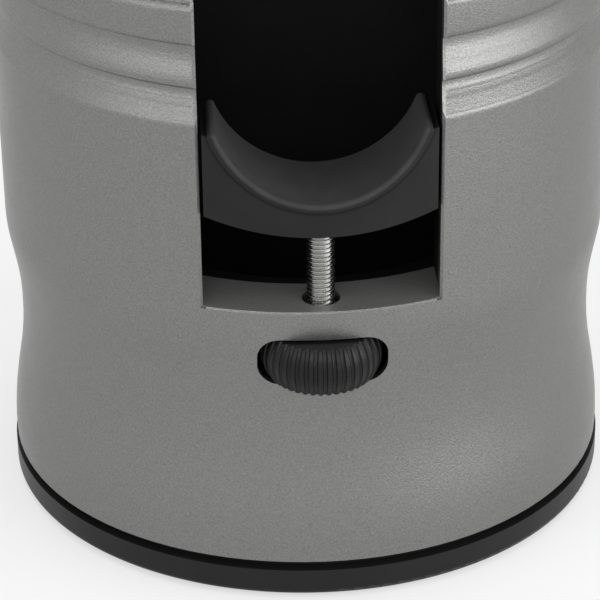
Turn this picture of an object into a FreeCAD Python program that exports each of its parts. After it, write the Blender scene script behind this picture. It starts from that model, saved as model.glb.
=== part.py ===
import FreeCAD, Part
import math
import os

# Electric coffee tamper: a round metal housing with a front slot, a rubber-lined neck rest on a
# thumb wheel jack, and a motor-driven screw press in the head.
# Lengths are in millimetres. The axis of the housing is Z, the floor is Z = 0 and the front is -Y.

os.makedirs("parts", exist_ok=True)
Vec = FreeCAD.Vector

# Allowances: how far a cutter runs past a face, how deep a joined piece starts inside its neighbour,
# and the clearances that several fits share
past = 1.0
sink = 0.5
inside_gap = 0.4
running_gap = 0.03
thrust_gap = 0.05
seat_gap = 0.02
head_gap = 0.4

# Base
base_overhang = 1.0
base_edge = 1.6
seam_height = 9.3
groove_height = 2.0
groove_depth = 2.6
foot_lift = 0.8
foot_radius = 8.0
foot_circle = 54.0
centre_foot_radius = 14.0
foot_pocket_depth = 1.6
foot_gap = 0.1
base_floor = 2.4
base_floor_hole = 40.0
spigot_gap = 0.2
spigot_wall = 2.2
spigot_height = 3.5
bottom_plate_thickness = 2.0
frame_base_thickness = 8.0

# Housing shell. The outline points are (depth inside the main radius, height above the start).
bore_radius = 65.2
shell_wall = 3.8
skirt_flare = 0.6
waist_height = 42.0
main_rise = 26.0
skirt_points = [
    (-0.35, -24.0),
    (0.55, -17.5),
    (1.85, -10.0),
    (2.6, 0.0),
    (2.05, 11.0),
    (0.85, 18.0),
    (0.15, 22.5),
]
cove_start = 110.8
cove_depth = 1.95
lower_cove_points = [(0.25, 1.4), (0.7, 2.6), (0.9, 3.5), (1.4, 4.9), (1.8, 6.2), (cove_depth, 7.8)]
lower_arris_rise = 0.7
lower_arris_depth = 0.8
upper_cove_points = [(0.85, 1.1), (1.1, 2.7), (1.6, 4.7), (1.9, 6.5), (cove_depth, 8.6)]
upper_arris_rise = 1.0
band_height = 6.7
shoulder_depth = 1.5
shoulder_points = [(0.25, 1.1), (0.9, 2.2), (1.35, 3.4), (shoulder_depth, 4.9)]
rim_chamfer = 0.8

# Front openings in the shell
slot_half_width = 24.9
sill_thickness = 5.0
sill_depth = 9.8
sill_margin = 5.1
ledge_overlap = 0.6
mouth_below_fork = 16.0
mouth_above_fork = 34.0
mouth_margin = 21.1
mouth_corner = 10.0
edge_break = 0.6
sill_edge_break = 0.35
wheel_side_room = 0.9
wheel_end_room = 0.5
window_corner = 4.8

# Jack: thumb wheel, nut, screw and bracket
wheel_height = 58.0
jack_inset = 3.4
screw_pitch = 1.0
screw_turns = 66
screw_crest = 3.0
screw_root = 2.45
screw_seat = 3.8
screw_side_room = 1.1
thread_flat = 0.14
wheel_radius = 13.0
wheel_crown = 2.0
wheel_half_height = 5.3
wheel_ribs = 40
rib_groove_radius = 0.55
rib_groove_out = 0.1
rib_groove_sweep = 100.0
nut_radius = 5.0
nut_collar = 0.3
nut_clearance = 0.35
washer_radius = 6.3
washer_side_gap = 0.7
washer_thickness = 1.75
bracket_plate_thickness = 3.5
bracket_side_room = 3.0
bracket_wall = 3.0
bracket_ear_width = 9.0
bracket_depth = 7.0
bracket_ear_thickness = 3.0

# Saddle that carries the neck of the filter holder
saddle_side_gap = 0.7
saddle_rest_height = 17.3
saddle_depth = 20.5
saddle_web = 7.6
saddle_bottom_arc = 80.0
saddle_tip_drop = 0.6
trough_inset = 1.5
tip_drop = 7.8
pad_thickness = 2.0
pad_overhang = 0.8
pad_round = 0.9

# Well behind the slot
liner_wall = 1.6
liner_leg_height = 17.8
liner_leg_radius = 4.0
liner_leg_x = 27.0
liner_leg_front = -20.0
liner_leg_rear = 16.0
well_to_wheel = 3.2
step_rise = 0.6
liner_below_fork = 2.0
jamb_offset = 0.3
jamb_rear = -45.0
ledge_gap = 0.2
well_boss_radius = 24.0
well_boss_height = 2.0

# Press frame: three plates on four tie rods with spacer tubes
rod_radius = 3.0
rod_gap = 0.2
rod_margin = 10.4
front_rod_angle = -23.5
rear_rod_angle = 38.0
rod_end = 1.5
rod_recess = 0.4
spacer_radius = 5.0
spacer_side_gap = 1.4
lower_spacer_length = 144.8
fork_thickness = 8.0
fork_arm_width = 13.7
fork_front = -34.0
fork_pad_thickness = 1.6
fork_pad_edge = 0.6
fork_pad_width = 6.4
fork_pad_front = -32.0
fork_pad_rear = 8.0
fork_pad_corner = 1.5
sensor_half_width = 8.0
sensor_depth = 12.0
sensor_height = 8.0
sensor_eye_radius = 2.5
sensor_eye_length = 2.0
sensor_setback = 6.5
guide_length = 56.0
plate_gap = 0.8
top_plate_thickness = 8.0
motor_plate_thickness = 4.0
hex_nut_height = 5.0
hex_nut_flats = 10.0
hex_pocket_clearance = 0.3

# Press: ram, crosshead, tamping head and drive
ram_y = -9.0
ram_pitch = 4.0
ram_turns = 19
ram_crest = 7.0
ram_root = 5.4
ram_spigot = 5.0
ram_thread_gap = 0.4
press_headroom = 15.0
crosshead_thickness = 8.0
crosshead_boss = 15.0
crosshead_ear = 10.0
bush_wall = 2.0
bush_length = 16.0
tamp_radius = 29.0
tamp_reach = 19.0
tamp_disc = 7.0
tamp_face = 5.0
tamp_edge = 0.8
tamp_slope_height = 2.0
tamp_slope_run = 3.0
tamp_hub_radius = 11.0
gear_module = 1.0
gear_teeth = 48
pinion_teeth = 16
gear_dedendum = 1.25
flank_points = 6
gear_backlash = 0.25
centre_gap = 0.1
pressure_angle = math.radians(20.0)
gear_width = 8.0
drive_nut_radius = 12.0
drive_nut_recess = 1.0
drive_nut_end = 0.5
nut_shoulder = 0.95
collar_radius = 15.0
collar_height = 6.95
drive_bush_wall = 3.0
drive_flange_width = 3.0
drive_flange = 2.0
motor_shaft_radius = 3.0
motor_shaft_room = 2.0
motor_shaft_gap = 0.4
motor_shaft_depth = 8.0
gearbox_radius = 18.5
gearbox_height = 20.0
motor_radius = 17.5
motor_height = 25.0
motor_boss_radius = 5.0
motor_boss_height = 2.0
motor_screw_inset = 3.0
motor_screw_reach = 4.0

# Top cover with display and buttons
cover_height = 20.0
cover_wall = 2.5
cover_edge_round = 9.0
cover_inner_slope = 6.0
gasket_thickness = 0.8
gasket_inset = 0.9
skirt_gap = 0.3
skirt_wall = 2.0
skirt_depth = 7.0
lens_half_width = 24.0
lens_half_depth = 11.0
lens_y = -20.0
lens_corner = 3.0
lens_thickness = 1.5
lens_ledge = 1.5
lens_gap = 0.15
button_radius = 6.5
button_gap = 0.35
button_lift = 1.2
button_round = 0.6
button_flange_width = 1.5
button_flange_height = 1.5
button_stem_radius = 1.5
button_stem_length = 1.6
button_play = 0.1
button_travel = 0.6
button_places = {"minus_button": (-24.0, 14.0), "clean_button": (0.0, 22.0), "plus_button": (24.0, 14.0)}
key_half_width = 3.0
board_thickness = 1.6
board_lift = 1.0
button_room = 7.5
display_board_half_width = 37.0
display_board_front = -42.0
display_board_rear = 30.0
display_board_corner = 3.0
display_boss_radius = 3.0
display_boss_inset = 4.0
display_panel_height = 4.0
display_panel_inset = 3.0
cover_screw_circle = 52.0
cover_screw_angles = (0, 100, 180, 260)
cover_post_radius = 3.5

# Rear panel with power inlet, rocker switch and control board
panel_half_width = 17.0
panel_bottom = 70.0
panel_height = 38.0
panel_stand = 0.8
panel_gap = 0.3
panel_flange = 2.0
panel_lip = 2.5
panel_fit = 0.1
inlet_rise = 7.6
inlet_radius = 5.5
inlet_flange_width = 1.5
inlet_flange = 1.2
inlet_length = 12.0
inlet_bore = 3.0
inlet_bore_depth = 10.0
inlet_pin_radius = 1.05
inlet_pin_recess = 1.5
switch_rise = 26.0
switch_half_width = 6.5
switch_half_height = 9.6
switch_rim = 1.0
switch_stand = 1.4
switch_length = 10.0
switch_depth = 7.0
rocker_half_width = 5.2
rocker_half_height = 7.4
rocker_side_room = 0.4
rocker_end_room = 0.6
rocker_pivot_depth = 0.5
rocker_heel = 3.0
rocker_shoulder = 1.6
rocker_tip = 3.6
rocker_dip = 2.3
rocker_round = 0.4
rocker_tilt = 8.0
board_stand = 12.4
board_half_width = 36.0
board_bottom = 26.0
board_top = 106.0
board_post_radius = 4.0
board_post_x = 30.0
board_post_inset = 8.0
capacitor_radius = 5.0
capacitor_height = 12.0
capacitor_places = [(-20.0, 48.0), (-8.0, 48.0)]
# Relay, terminal strip and two driver chips as (x0, x1, z0, z1, height)
board_blocks = [(4, 22, 40, 55, 10.0), (-24, 24, 28, 34, 8.0), (-26, -14, 62, 74, 1.6), (16, 28, 62, 74, 1.6)]

# Screws
base_screw_circle = 50.0
base_screw_radius = 2.0
base_screw_gap = 0.2
base_screw_head_radius = 3.8
base_screw_head = 1.0
base_screw_sink = 1.2
base_screw_reach = 5.0
m3_radius = 1.45
m3_tap = 1.5
m3_hole = 1.7
m3_head_radius = 2.7
m3_head = 2.0
m3_reach = 7.0
m3_thin_head = 1.1
m3_thin_sink = 1.2
bracket_screw_reach = 3.0
board_screw_radius = 1.2
board_screw_hole = 1.6
board_screw_head_radius = 2.6
board_screw_head = 1.8
board_screw_reach = 5.0


def cyl(radius, z0, z1, x=0.0, y=0.0):
    return Part.makeCylinder(radius, z1 - z0, Vec(x, y, z0))


def ring(outer, inner, z0, z1, x=0.0, y=0.0):
    return cyl(outer, z0, z1, x, y).cut(cyl(inner, z0 - past, z1 + past, x, y))


def rod_y(radius, y0, y1, x, z):
    return Part.makeCylinder(radius, y1 - y0, Vec(x, y0, z), Vec(0, 1, 0))


def box(x0, x1, y0, y1, z0, z1):
    return Part.makeBox(x1 - x0, y1 - y0, z1 - z0, Vec(x0, y0, z0))


def joined(shapes):
    return shapes[0].multiFuse(shapes[1:]).removeSplitter()


def drilled(shape, radius, z0, z1, places):
    """The shape with an upright round hole from z0 to z1 at each place."""
    return shape.cut([cyl(radius, z0, z1, x, y) for x, y in places])


def around(radius, angles, x=0.0, y=0.0):
    """Places on a circle, at angles in degrees."""
    turns = [math.radians(angle) for angle in angles]
    return [(x + radius * math.cos(turn), y + radius * math.sin(turn)) for turn in turns]


def both_sides(place):
    return [(-place[0], place[1]), (place[0], place[1])]


def hexagon(flats, z0, z1, x, y):
    corners = around(flats / math.sqrt(3), range(0, 361, 60), x, y)
    outline = Part.makePolygon([Vec(u, v, z0) for u, v in corners])
    return Part.Face(outline).extrude(Vec(0, 0, z1 - z0))


def turned(edges):
    """A solid of revolution about Z from a closed outline in the XZ plane."""
    return Part.Face(Part.Wire(edges)).revolve(Vec(0, 0, 0), Vec(0, 0, 1), 360)


def chain(points):
    """Straight edges through points given as (radius, height)."""
    ends = [Vec(r, 0, z) for r, z in points]
    return [Part.makeLine(a, b) for a, b in zip(ends, ends[1:])]


def curve(points):
    spline = Part.BSplineCurve()
    spline.interpolate([Vec(r, 0, z) for r, z in points])
    return spline.toShape()


def quarter_round(start, corner, end):
    """An arc from start to end that rounds the square corner between them."""
    a, c, b = [Vec(r, 0, z) for r, z in (start, corner, end)]
    centre = a + b - c
    middle = centre + (c - centre) * (1 / math.sqrt(2))
    return Part.Arc(a, middle, b).toShape()


def rounded_outline(corners):
    """A closed wire in XY through corners given as (u, v, radius), each rounded by its radius."""
    edges = []
    previous = None
    first = None
    count = len(corners)
    for k in range(count):
        before = Vec(corners[k - 1][0], corners[k - 1][1], 0)
        here = Vec(corners[k][0], corners[k][1], 0)
        after = Vec(corners[(k + 1) % count][0], corners[(k + 1) % count][1], 0)
        radius = corners[k][2]
        start = here
        end = here
        if radius > 0:
            back = (before - here).normalize()
            ahead = (after - here).normalize()
            half = back.getAngle(ahead) / 2
            run = radius / math.tan(half)
            middle = (back + ahead).normalize()
            start = here + back * run
            end = here + ahead * run
            inner = here + middle * (radius / math.sin(half) - radius)
        if previous is None:
            first = start
        else:
            edges.append(Part.makeLine(previous, start))
        if radius > 0:
            edges.append(Part.Arc(start, inner, end).toShape())
        previous = end
    edges.append(Part.makeLine(previous, first))
    return Part.Wire(edges)


def prism_z(corners, z0, z1):
    face = Part.Face(rounded_outline(corners))
    face.translate(Vec(0, 0, z0))
    return face.extrude(Vec(0, 0, z1 - z0))


def prism_y(corners, y0, y1):
    face = Part.Face(rounded_outline(corners))
    face.rotate(Vec(0, 0, 0), Vec(1, 0, 0), 90)
    face.translate(Vec(0, y0, 0))
    return face.extrude(Vec(0, y1 - y0, 0))


def rectangle(x0, x1, y0, y1, radius):
    return [(x0, y0, radius), (x1, y0, radius), (x1, y1, radius), (x0, y1, radius)]


def threaded_rod(pitch, turns, root, crest, x, y, z):
    """A rod with a vee thread of the given pitch, each turn a closed ring."""
    flat = thread_flat * pitch
    points = [(0, 0)]
    for k in range(turns):
        middle = (k + 0.5) * pitch
        points += [(root, k * pitch), (crest, middle - flat / 2), (crest, middle + flat / 2)]
    points += [(root, turns * pitch), (0, turns * pitch), (0, 0)]
    rod = turned(chain(points))
    rod.translate(Vec(x, y, z))
    return rod


def spur_gear(teeth, bore, z0, z1, x, y, turn):
    """An involute spur gear with one tooth centred on the direction turn, in radians."""
    pitch_radius = gear_module * teeth / 2
    base = pitch_radius * math.cos(pressure_angle)
    tip = pitch_radius + gear_module
    root = pitch_radius - gear_dedendum * gear_module
    spread = math.tan(pressure_angle) - pressure_angle
    half_tooth = math.pi / (2 * teeth) - gear_backlash / (4 * pitch_radius) + spread
    start = max(base, root)
    flank = []
    for k in range(flank_points):
        radius = start + (tip - start) * k / (flank_points - 1)
        roll = math.acos(min(1.0, base / radius))
        flank.append((radius, half_tooth - (math.tan(roll) - roll)))
    if base > root:
        flank.insert(0, (root, flank[0][1]))
    ends = []
    for tooth in range(teeth):
        middle = turn + 2 * math.pi * tooth / teeth
        ends += [(r, middle - a) for r, a in flank]
        ends += [(r, middle + a) for r, a in reversed(flank)]
    points = [Vec(x + r * math.cos(a), y + r * math.sin(a), z0) for r, a in ends]
    body = Part.Face(Part.makePolygon(points + points[:1])).extrude(Vec(0, 0, z1 - z0))
    return body.cut(cyl(bore, z0 - past, z1 + past, x, y))


def screw_down(head_radius, head_height, shank_radius, shank_length, x, y, z):
    """A screw with its head above z and its shank below."""
    head = cyl(head_radius, z, z + head_height, x, y)
    socket = hexagon(head_radius, z + head_height / 2, z + head_height + past, x, y)
    shank = cyl(shank_radius, z - shank_length, z, x, y)
    return head.fuse(shank).removeSplitter().cut(socket)


def screw_up(head_radius, head_height, shank_radius, shank_length, x, y, z):
    """A screw with its head below z and its shank above."""
    made = screw_down(head_radius, head_height, shank_radius, shank_length, 0, 0, 0)
    made.rotate(Vec(0, 0, 0), Vec(1, 0, 0), 180)
    made.translate(Vec(x, y, z))
    return made


def save(name, shapes):
    group = shapes if isinstance(shapes, list) else [shapes]
    solids = [solid for shape in group for solid in shape.Solids]
    whole = solids[0] if len(solids) == 1 else Part.makeCompound(solids)
    whole.exportStep("parts/" + name + ".step")


# Radii and levels that several pieces share, from the floor up
main_radius = bore_radius + shell_wall
base_radius = main_radius + base_overhang
outside = base_radius + past
inner_radius = bore_radius - inside_gap
floor_top = foot_lift + base_floor
frame_bottom = floor_top + bottom_plate_thickness
frame_top = frame_bottom + frame_base_thickness
fork_bottom = frame_top + lower_spacer_length
fork_top = fork_bottom + fork_thickness
top_plate_bottom = fork_top + guide_length
top_plate_top = top_plate_bottom + top_plate_thickness
shoulder_bottom = top_plate_top + drive_flange + thrust_gap
gear_bottom = shoulder_bottom + nut_shoulder
gear_top = gear_bottom + gear_width
collar_top = gear_top + collar_height
motor_plate_bottom = collar_top + thrust_gap + drive_flange
motor_plate_top = motor_plate_bottom + motor_plate_thickness
gearbox_top = motor_plate_top + gearbox_height
motor_top = gearbox_top + motor_height
display_board_bottom = motor_top + motor_boss_height + board_lift
cover_inner_top = display_board_bottom + button_room
cover_top = cover_inner_top + cover_wall
shell_top = cover_top - cover_height
mouth_bottom = fork_bottom - mouth_below_fork
mouth_top = fork_top + mouth_above_fork
mouth_half_width = slot_half_width + mouth_margin

# Levels of the jack and the saddle, from the thumb wheel up
jack_y = jack_inset - bore_radius
jack_place = [(0.0, jack_y)]
wheel_low = wheel_height - wheel_half_height
wheel_high = wheel_height + wheel_half_height
nut_bottom = wheel_low - nut_collar
nut_top = wheel_high + nut_collar
bracket_plate_top = nut_bottom - thrust_gap - washer_thickness
bracket_plate_bottom = bracket_plate_top - bracket_plate_thickness
sill_under = nut_top + thrust_gap + washer_thickness
sill_height = sill_under + sill_thickness
sill_rear_radius = bore_radius - sill_depth
sill_half_width = slot_half_width + sill_margin
saddle_half_width = slot_half_width - saddle_side_gap
saddle_bottom = sill_height + saddle_rest_height
saddle_rear = saddle_depth - main_radius
trough_radius = saddle_half_width - trough_inset
trough_centre = saddle_bottom + saddle_web + trough_radius
tip_height = trough_centre - tip_drop
screw_top = saddle_bottom + screw_seat
screw_bottom = screw_top - screw_pitch * screw_turns

# Places of the tie rods, and the well liner that stands between them
rod_hole = rod_radius + rod_gap
rod_circle = bore_radius - rod_margin
front_rod, rear_rod = around(rod_circle, (front_rod_angle, rear_rod_angle))
rear_places = both_sides(rear_rod)
rod_places = both_sides(front_rod) + rear_places
liner_outer_x = front_rod[0] - spacer_radius - spacer_side_gap
liner_outer_rear = rear_rod[1] - spacer_radius - spacer_side_gap
liner_half_width = liner_outer_x - liner_wall
well_radius = -jack_y - wheel_radius - well_to_wheel - liner_wall
liner_rear = liner_outer_rear - liner_wall
liner_top = fork_bottom - liner_below_fork
liner_leg_places = both_sides((liner_leg_x, liner_leg_front)) + both_sides((liner_leg_x, liner_leg_rear))
well_floor = frame_top + liner_leg_height
well_step = sill_under + step_rise
well_underside = well_floor - liner_wall

# Base ring, feet, bottom plate and cast frame base
ring_top = seam_height - groove_height
groove_radius = base_radius - groove_depth
spigot_radius = bore_radius - spigot_gap
spigot_inner = spigot_radius - spigot_wall
spigot_top = seam_height + spigot_height
base_plate_radius = spigot_inner - inside_gap
foot_places = around(foot_circle, (45, 135, 225, 315))
foot_top = foot_lift + foot_pocket_depth
base_screw_places = around(base_screw_circle, (0, 90, 180, 270))
base_screw_hole = base_screw_radius + base_screw_gap
base_screw_seat = foot_lift + base_screw_sink
edge_low = (base_radius - base_edge, foot_lift)
edge_corner = (base_radius, foot_lift)
edge_high = (base_radius, foot_lift + base_edge)
base_outline = [quarter_round(edge_low, edge_corner, edge_high)]
base_outline += chain([
    edge_high,
    (base_radius, ring_top),
    (groove_radius, ring_top),
    (groove_radius, seam_height),
    (spigot_radius, seam_height),
    (spigot_radius, spigot_top),
    (spigot_inner, spigot_top),
    (spigot_inner, floor_top),
    (base_floor_hole, floor_top),
    (base_floor_hole, foot_lift),
    edge_low,
])
base_ring = turned(base_outline)
base_ring = drilled(base_ring, foot_radius + foot_gap, 0, foot_top, foot_places)
base_ring = drilled(base_ring, base_screw_hole, 0, floor_top + past, base_screw_places)
base_ring = drilled(base_ring, base_screw_head_radius + head_gap, 0, base_screw_seat, base_screw_places)
save("base_ring", base_ring)
feet = [cyl(foot_radius, 0, foot_top, x, y) for x, y in foot_places]
feet.append(cyl(centre_foot_radius, 0, floor_top))
save("rubber_feet", feet)

bottom_plate = cyl(base_plate_radius, floor_top, frame_bottom)
bottom_plate = drilled(bottom_plate, base_screw_hole, floor_top - past, frame_bottom + past,
                       base_screw_places)
save("bottom_plate", bottom_plate)

liner_screw_seat = frame_bottom + m3_head + past
frame_base = cyl(base_plate_radius, frame_bottom, frame_top)
frame_base = drilled(frame_base, screw_crest + screw_side_room, frame_bottom - past, frame_top + past,
                     jack_place)
frame_base = drilled(frame_base, rod_hole, frame_bottom - past, frame_top + past, rod_places)
for x, y in rod_places:
    pocket_flats = hex_nut_flats + 2 * hex_pocket_clearance
    frame_base = frame_base.cut(hexagon(pocket_flats, frame_bottom - past,
                                        frame_bottom + hex_nut_height, x, y))
frame_base = drilled(frame_base, base_screw_radius, frame_bottom - past, frame_top - past, base_screw_places)
frame_base = drilled(frame_base, m3_hole, frame_bottom - past, frame_top + past, liner_leg_places)
frame_base = drilled(frame_base, m3_head_radius + head_gap, frame_bottom - past, liner_screw_seat,
                     liner_leg_places)
save("frame_base", frame_base)
base_screw_length = frame_bottom + base_screw_reach - base_screw_seat
save("base_screws", [
    screw_up(base_screw_head_radius, base_screw_head, base_screw_radius, base_screw_length, x, y,
             base_screw_seat)
    for x, y in base_screw_places
])


# Housing shell, turned to profile, with the slot, the mouth, the wheel window and the sill ledge
def profile(points, height):
    """Outline points as (radius, height) from points given as (depth, height above the start)."""
    return [(main_radius - depth, height + rise) for depth, rise in points]


upper_radius = main_radius - shoulder_depth
main_start = waist_height + main_rise
lower_cove = profile([(0, 0)] + lower_cove_points, cove_start)
lower_arris_height = lower_cove[-1][1] + lower_arris_rise
upper_cove = profile([(lower_arris_depth, 0)] + upper_cove_points, lower_arris_height)
upper_arris_height = upper_cove[-1][1] + upper_arris_rise
band_top = upper_arris_height + band_height
shoulder = profile([(0, 0)] + shoulder_points, band_top)
skirt_start = (main_radius + skirt_flare, seam_height)
skirt_end = (main_radius, main_start)
shell_outline = [
    curve([skirt_start] + profile(skirt_points, waist_height) + [skirt_end]),
    curve(lower_cove),
    curve(upper_cove),
    curve(shoulder),
]
shell_outline += chain([skirt_end, lower_cove[0]])
shell_outline += chain([lower_cove[-1], upper_cove[0]])
shell_outline += chain([upper_cove[-1], (main_radius, upper_arris_height), shoulder[0]])
shell_outline += chain([
    shoulder[-1],
    (upper_radius, shell_top - rim_chamfer),
    (upper_radius - rim_chamfer, shell_top),
    (bore_radius, shell_top),
    (bore_radius, seam_height),
    skirt_start,
])
shell = turned(Part.sortEdges(shell_outline)[0])
ledge = ring(bore_radius + ledge_overlap, sill_rear_radius, sill_under, sill_height)
ledge = ledge.common(box(-sill_half_width, sill_half_width, -base_radius, 0, sill_under, sill_height))
shell = shell.fuse(ledge)
front_opening = prism_y([
    (-slot_half_width, sill_height, 0),
    (slot_half_width, sill_height, 0),
    (slot_half_width, mouth_bottom, mouth_corner / 2),
    (mouth_half_width, mouth_bottom, mouth_corner),
    (mouth_half_width, mouth_top, mouth_corner),
    (-mouth_half_width, mouth_top, mouth_corner),
    (-mouth_half_width, mouth_bottom, mouth_corner),
    (-slot_half_width, mouth_bottom, mouth_corner / 2),
], -outside, 0)
window_half_width = wheel_radius + wheel_side_room
window_half_height = wheel_half_height + wheel_end_room
window_outline = rectangle(-window_half_width, window_half_width, wheel_height - window_half_height,
                           wheel_height + window_half_height, window_corner)
window = prism_y(window_outline, -outside, -sill_rear_radius)
panel_top = panel_bottom + panel_height
panel_opening = box(-panel_half_width, panel_half_width, 0, outside, panel_bottom, panel_top)
shell = shell.cut([front_opening, window, panel_opening])
sill_hole = screw_crest + screw_side_room
shell = drilled(shell, sill_hole, sill_under - past, sill_height + past, jack_place)
bracket_inner = wheel_radius + bracket_side_room
bracket_outer = bracket_inner + bracket_wall
bracket_ear = bracket_outer + bracket_ear_width
bracket_rear = math.sqrt(sill_rear_radius ** 2 - bracket_inner ** 2) + inside_gap
bracket_front = bracket_rear + bracket_depth
bracket_screw_x = bracket_outer + bracket_ear_width / 2
bracket_screw_y = -(bracket_front + bracket_rear) / 2
bracket_screw_places = both_sides((bracket_screw_x, bracket_screw_y))
bracket_screw_top = sill_under + bracket_screw_reach
shell = drilled(shell, m3_tap, sill_under - past, bracket_screw_top, bracket_screw_places)


def slot_edge_tool(sign):
    """Takes the sharp edge off one upright side of the slot, wherever the wall has its full radius."""
    wide = slot_half_width + edge_break
    narrow = slot_half_width - edge_break
    inner_y = edge_break - math.sqrt(main_radius ** 2 - slot_half_width ** 2)
    outer_y = -math.sqrt(main_radius ** 2 - wide ** 2)
    corners = [
        (slot_half_width, inner_y),
        (wide, outer_y),
        (wide, -outside),
        (narrow, -outside),
        (narrow, inner_y),
        (slot_half_width, inner_y),
    ]
    level = sill_height - sill_edge_break
    outline = Part.makePolygon([Vec(sign * x, y, level) for x, y in corners])
    return Part.Face(outline).extrude(Vec(0, 0, mouth_bottom - sill_height))


sill_tool = turned(chain([
    (main_radius - sill_edge_break, sill_height),
    (main_radius, sill_height - sill_edge_break),
    (outside, sill_height - sill_edge_break),
    (outside, sill_height),
    (main_radius - sill_edge_break, sill_height),
]))
sill_tool = sill_tool.common(box(-slot_half_width, slot_half_width, -outside, 0, sill_under, sill_height))
shell = shell.cut([slot_edge_tool(-1), slot_edge_tool(1), sill_tool]).removeSplitter()
save("outer_shell", shell)

# Jack bracket under the sill, its screws and the thrust washers
ear_bottom = sill_under - bracket_ear_thickness
pieces = [box(-bracket_outer, bracket_outer, -bore_radius, -bracket_rear, bracket_plate_bottom,
              bracket_plate_top)]
for sign in (-1, 1):
    cheek = sorted((sign * bracket_inner, sign * bracket_outer))
    pieces.append(box(cheek[0], cheek[1], -bracket_front, -bracket_rear, bracket_plate_bottom, sill_under))
    ear = sorted((sign * bracket_inner, sign * bracket_ear))
    pieces.append(box(ear[0], ear[1], -bracket_front, -bracket_rear, ear_bottom, sill_under))
bracket = joined(pieces).common(cyl(inner_radius, bracket_plate_bottom, sill_under))
bracket = drilled(bracket, sill_hole, bracket_plate_bottom - past, bracket_plate_top + past, jack_place)
bracket = drilled(bracket, m3_hole, ear_bottom - past, sill_under + past, bracket_screw_places)
save("wheel_bracket", bracket)
bracket_screw_length = bracket_screw_top - ear_bottom
save("bracket_screws", [
    screw_up(m3_head_radius, m3_head, m3_radius, bracket_screw_length, x, y, ear_bottom)
    for x, y in bracket_screw_places
])


def thrust_washer(z):
    """A washer with a flat front that stands clear of the shell, so it doesn't turn with the nut."""
    top = z + washer_thickness
    washer = ring(washer_radius, screw_crest + washer_side_gap, z, top, 0, jack_y)
    return washer.common(cyl(inner_radius, z, top))


save("thrust_washers", [thrust_washer(bracket_plate_top), thrust_washer(sill_under - washer_thickness)])

# Thumb wheel with rounded ribs, its brass nut, and the jack screw
wheel_edge_radius = wheel_radius - wheel_crown
meridian = (wheel_half_height ** 2 + wheel_crown ** 2) / (2 * wheel_crown)
meridian_centre = Vec(wheel_radius - meridian, 0, wheel_height)
crown = Part.Arc(Vec(wheel_edge_radius, 0, wheel_low), Vec(wheel_radius, 0, wheel_height),
                 Vec(wheel_edge_radius, 0, wheel_high)).toShape()
wheel = turned([crown] + chain([
    (wheel_edge_radius, wheel_high),
    (nut_radius, wheel_high),
    (nut_radius, wheel_low),
    (wheel_edge_radius, wheel_low),
]))
groove_centre = Vec(wheel_radius + rib_groove_out, 0, wheel_height)
groove_face = Part.Face(Part.Wire(Part.makeCircle(rib_groove_radius, groove_centre, Vec(0, 0, 1))))
groove_face.rotate(meridian_centre, Vec(0, 1, 0), -rib_groove_sweep / 2)
groove = groove_face.revolve(meridian_centre, Vec(0, 1, 0), rib_groove_sweep)
grooves = []
for k in range(wheel_ribs):
    copy = groove.copy()
    copy.rotate(Vec(0, 0, 0), Vec(0, 0, 1), 360.0 * k / wheel_ribs)
    grooves.append(copy)
wheel = wheel.cut(grooves)
wheel.translate(Vec(0, jack_y, 0))
save("thumb_wheel", wheel)
save("wheel_nut", ring(nut_radius, screw_crest + nut_clearance, nut_bottom, nut_top, 0, jack_y))
save("jack_screw", threaded_rod(screw_pitch, screw_turns, screw_root, screw_crest, 0, jack_y, screw_bottom))

# Saddle and its rubber pad
pad_outer = trough_radius + pad_thickness
saddle_top = tip_height - saddle_tip_drop
saddle = box(-saddle_half_width, saddle_half_width, -main_radius, saddle_rear, saddle_bottom - past,
             saddle_top)
saddle = saddle.common(cyl(main_radius, saddle_bottom - past, saddle_top))
saddle = saddle.common(rod_y(saddle_bottom_arc, -outside, 0, 0, saddle_bottom + saddle_bottom_arc))
saddle = saddle.cut(rod_y(pad_outer, -outside, 0, 0, trough_centre))
saddle = drilled(saddle, screw_crest + seat_gap, saddle_bottom - past, screw_top, jack_place)
save("saddle", saddle)
pad = rod_y(pad_outer, -outside, saddle_rear + pad_overhang, 0, trough_centre)
pad = pad.cut(rod_y(trough_radius, -outside - past, 0, 0, trough_centre))
pad = pad.common(cyl(main_radius + pad_overhang, saddle_bottom, tip_height))
pad = pad.common(box(-saddle_half_width, saddle_half_width, -outside, 0, saddle_bottom, tip_height))
pad_middle = (saddle_rear - main_radius) / 2
front_edges = [e for e in pad.Edges if e.CenterOfMass.y < pad_middle and e.BoundBox.XLength > trough_radius]
tip_edges = [
    edge for edge in pad.Edges
    if edge.BoundBox.ZMin > tip_height - seat_gap and edge.CenterOfMass.y < saddle_rear
]
save("saddle_pad", pad.makeFillet(pad_round, front_edges + tip_edges))


# Well liner behind the slot: a moulded tub with jambs beside the slot, legs and board posts
def tub(grow, floor, step, top):
    """The space of the well: round below the step, and wider with flat sides above it."""
    rear = liner_rear + grow
    low = cyl(well_radius + grow, floor, step)
    low = low.common(box(-well_radius - grow, well_radius + grow, -well_radius - grow, rear, floor, step))
    high = cyl(sill_rear_radius + grow, step, top)
    half_width = liner_half_width + grow
    high = high.common(box(-half_width, half_width, -sill_rear_radius - grow, rear, step, top))
    return low.fuse(high)


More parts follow.
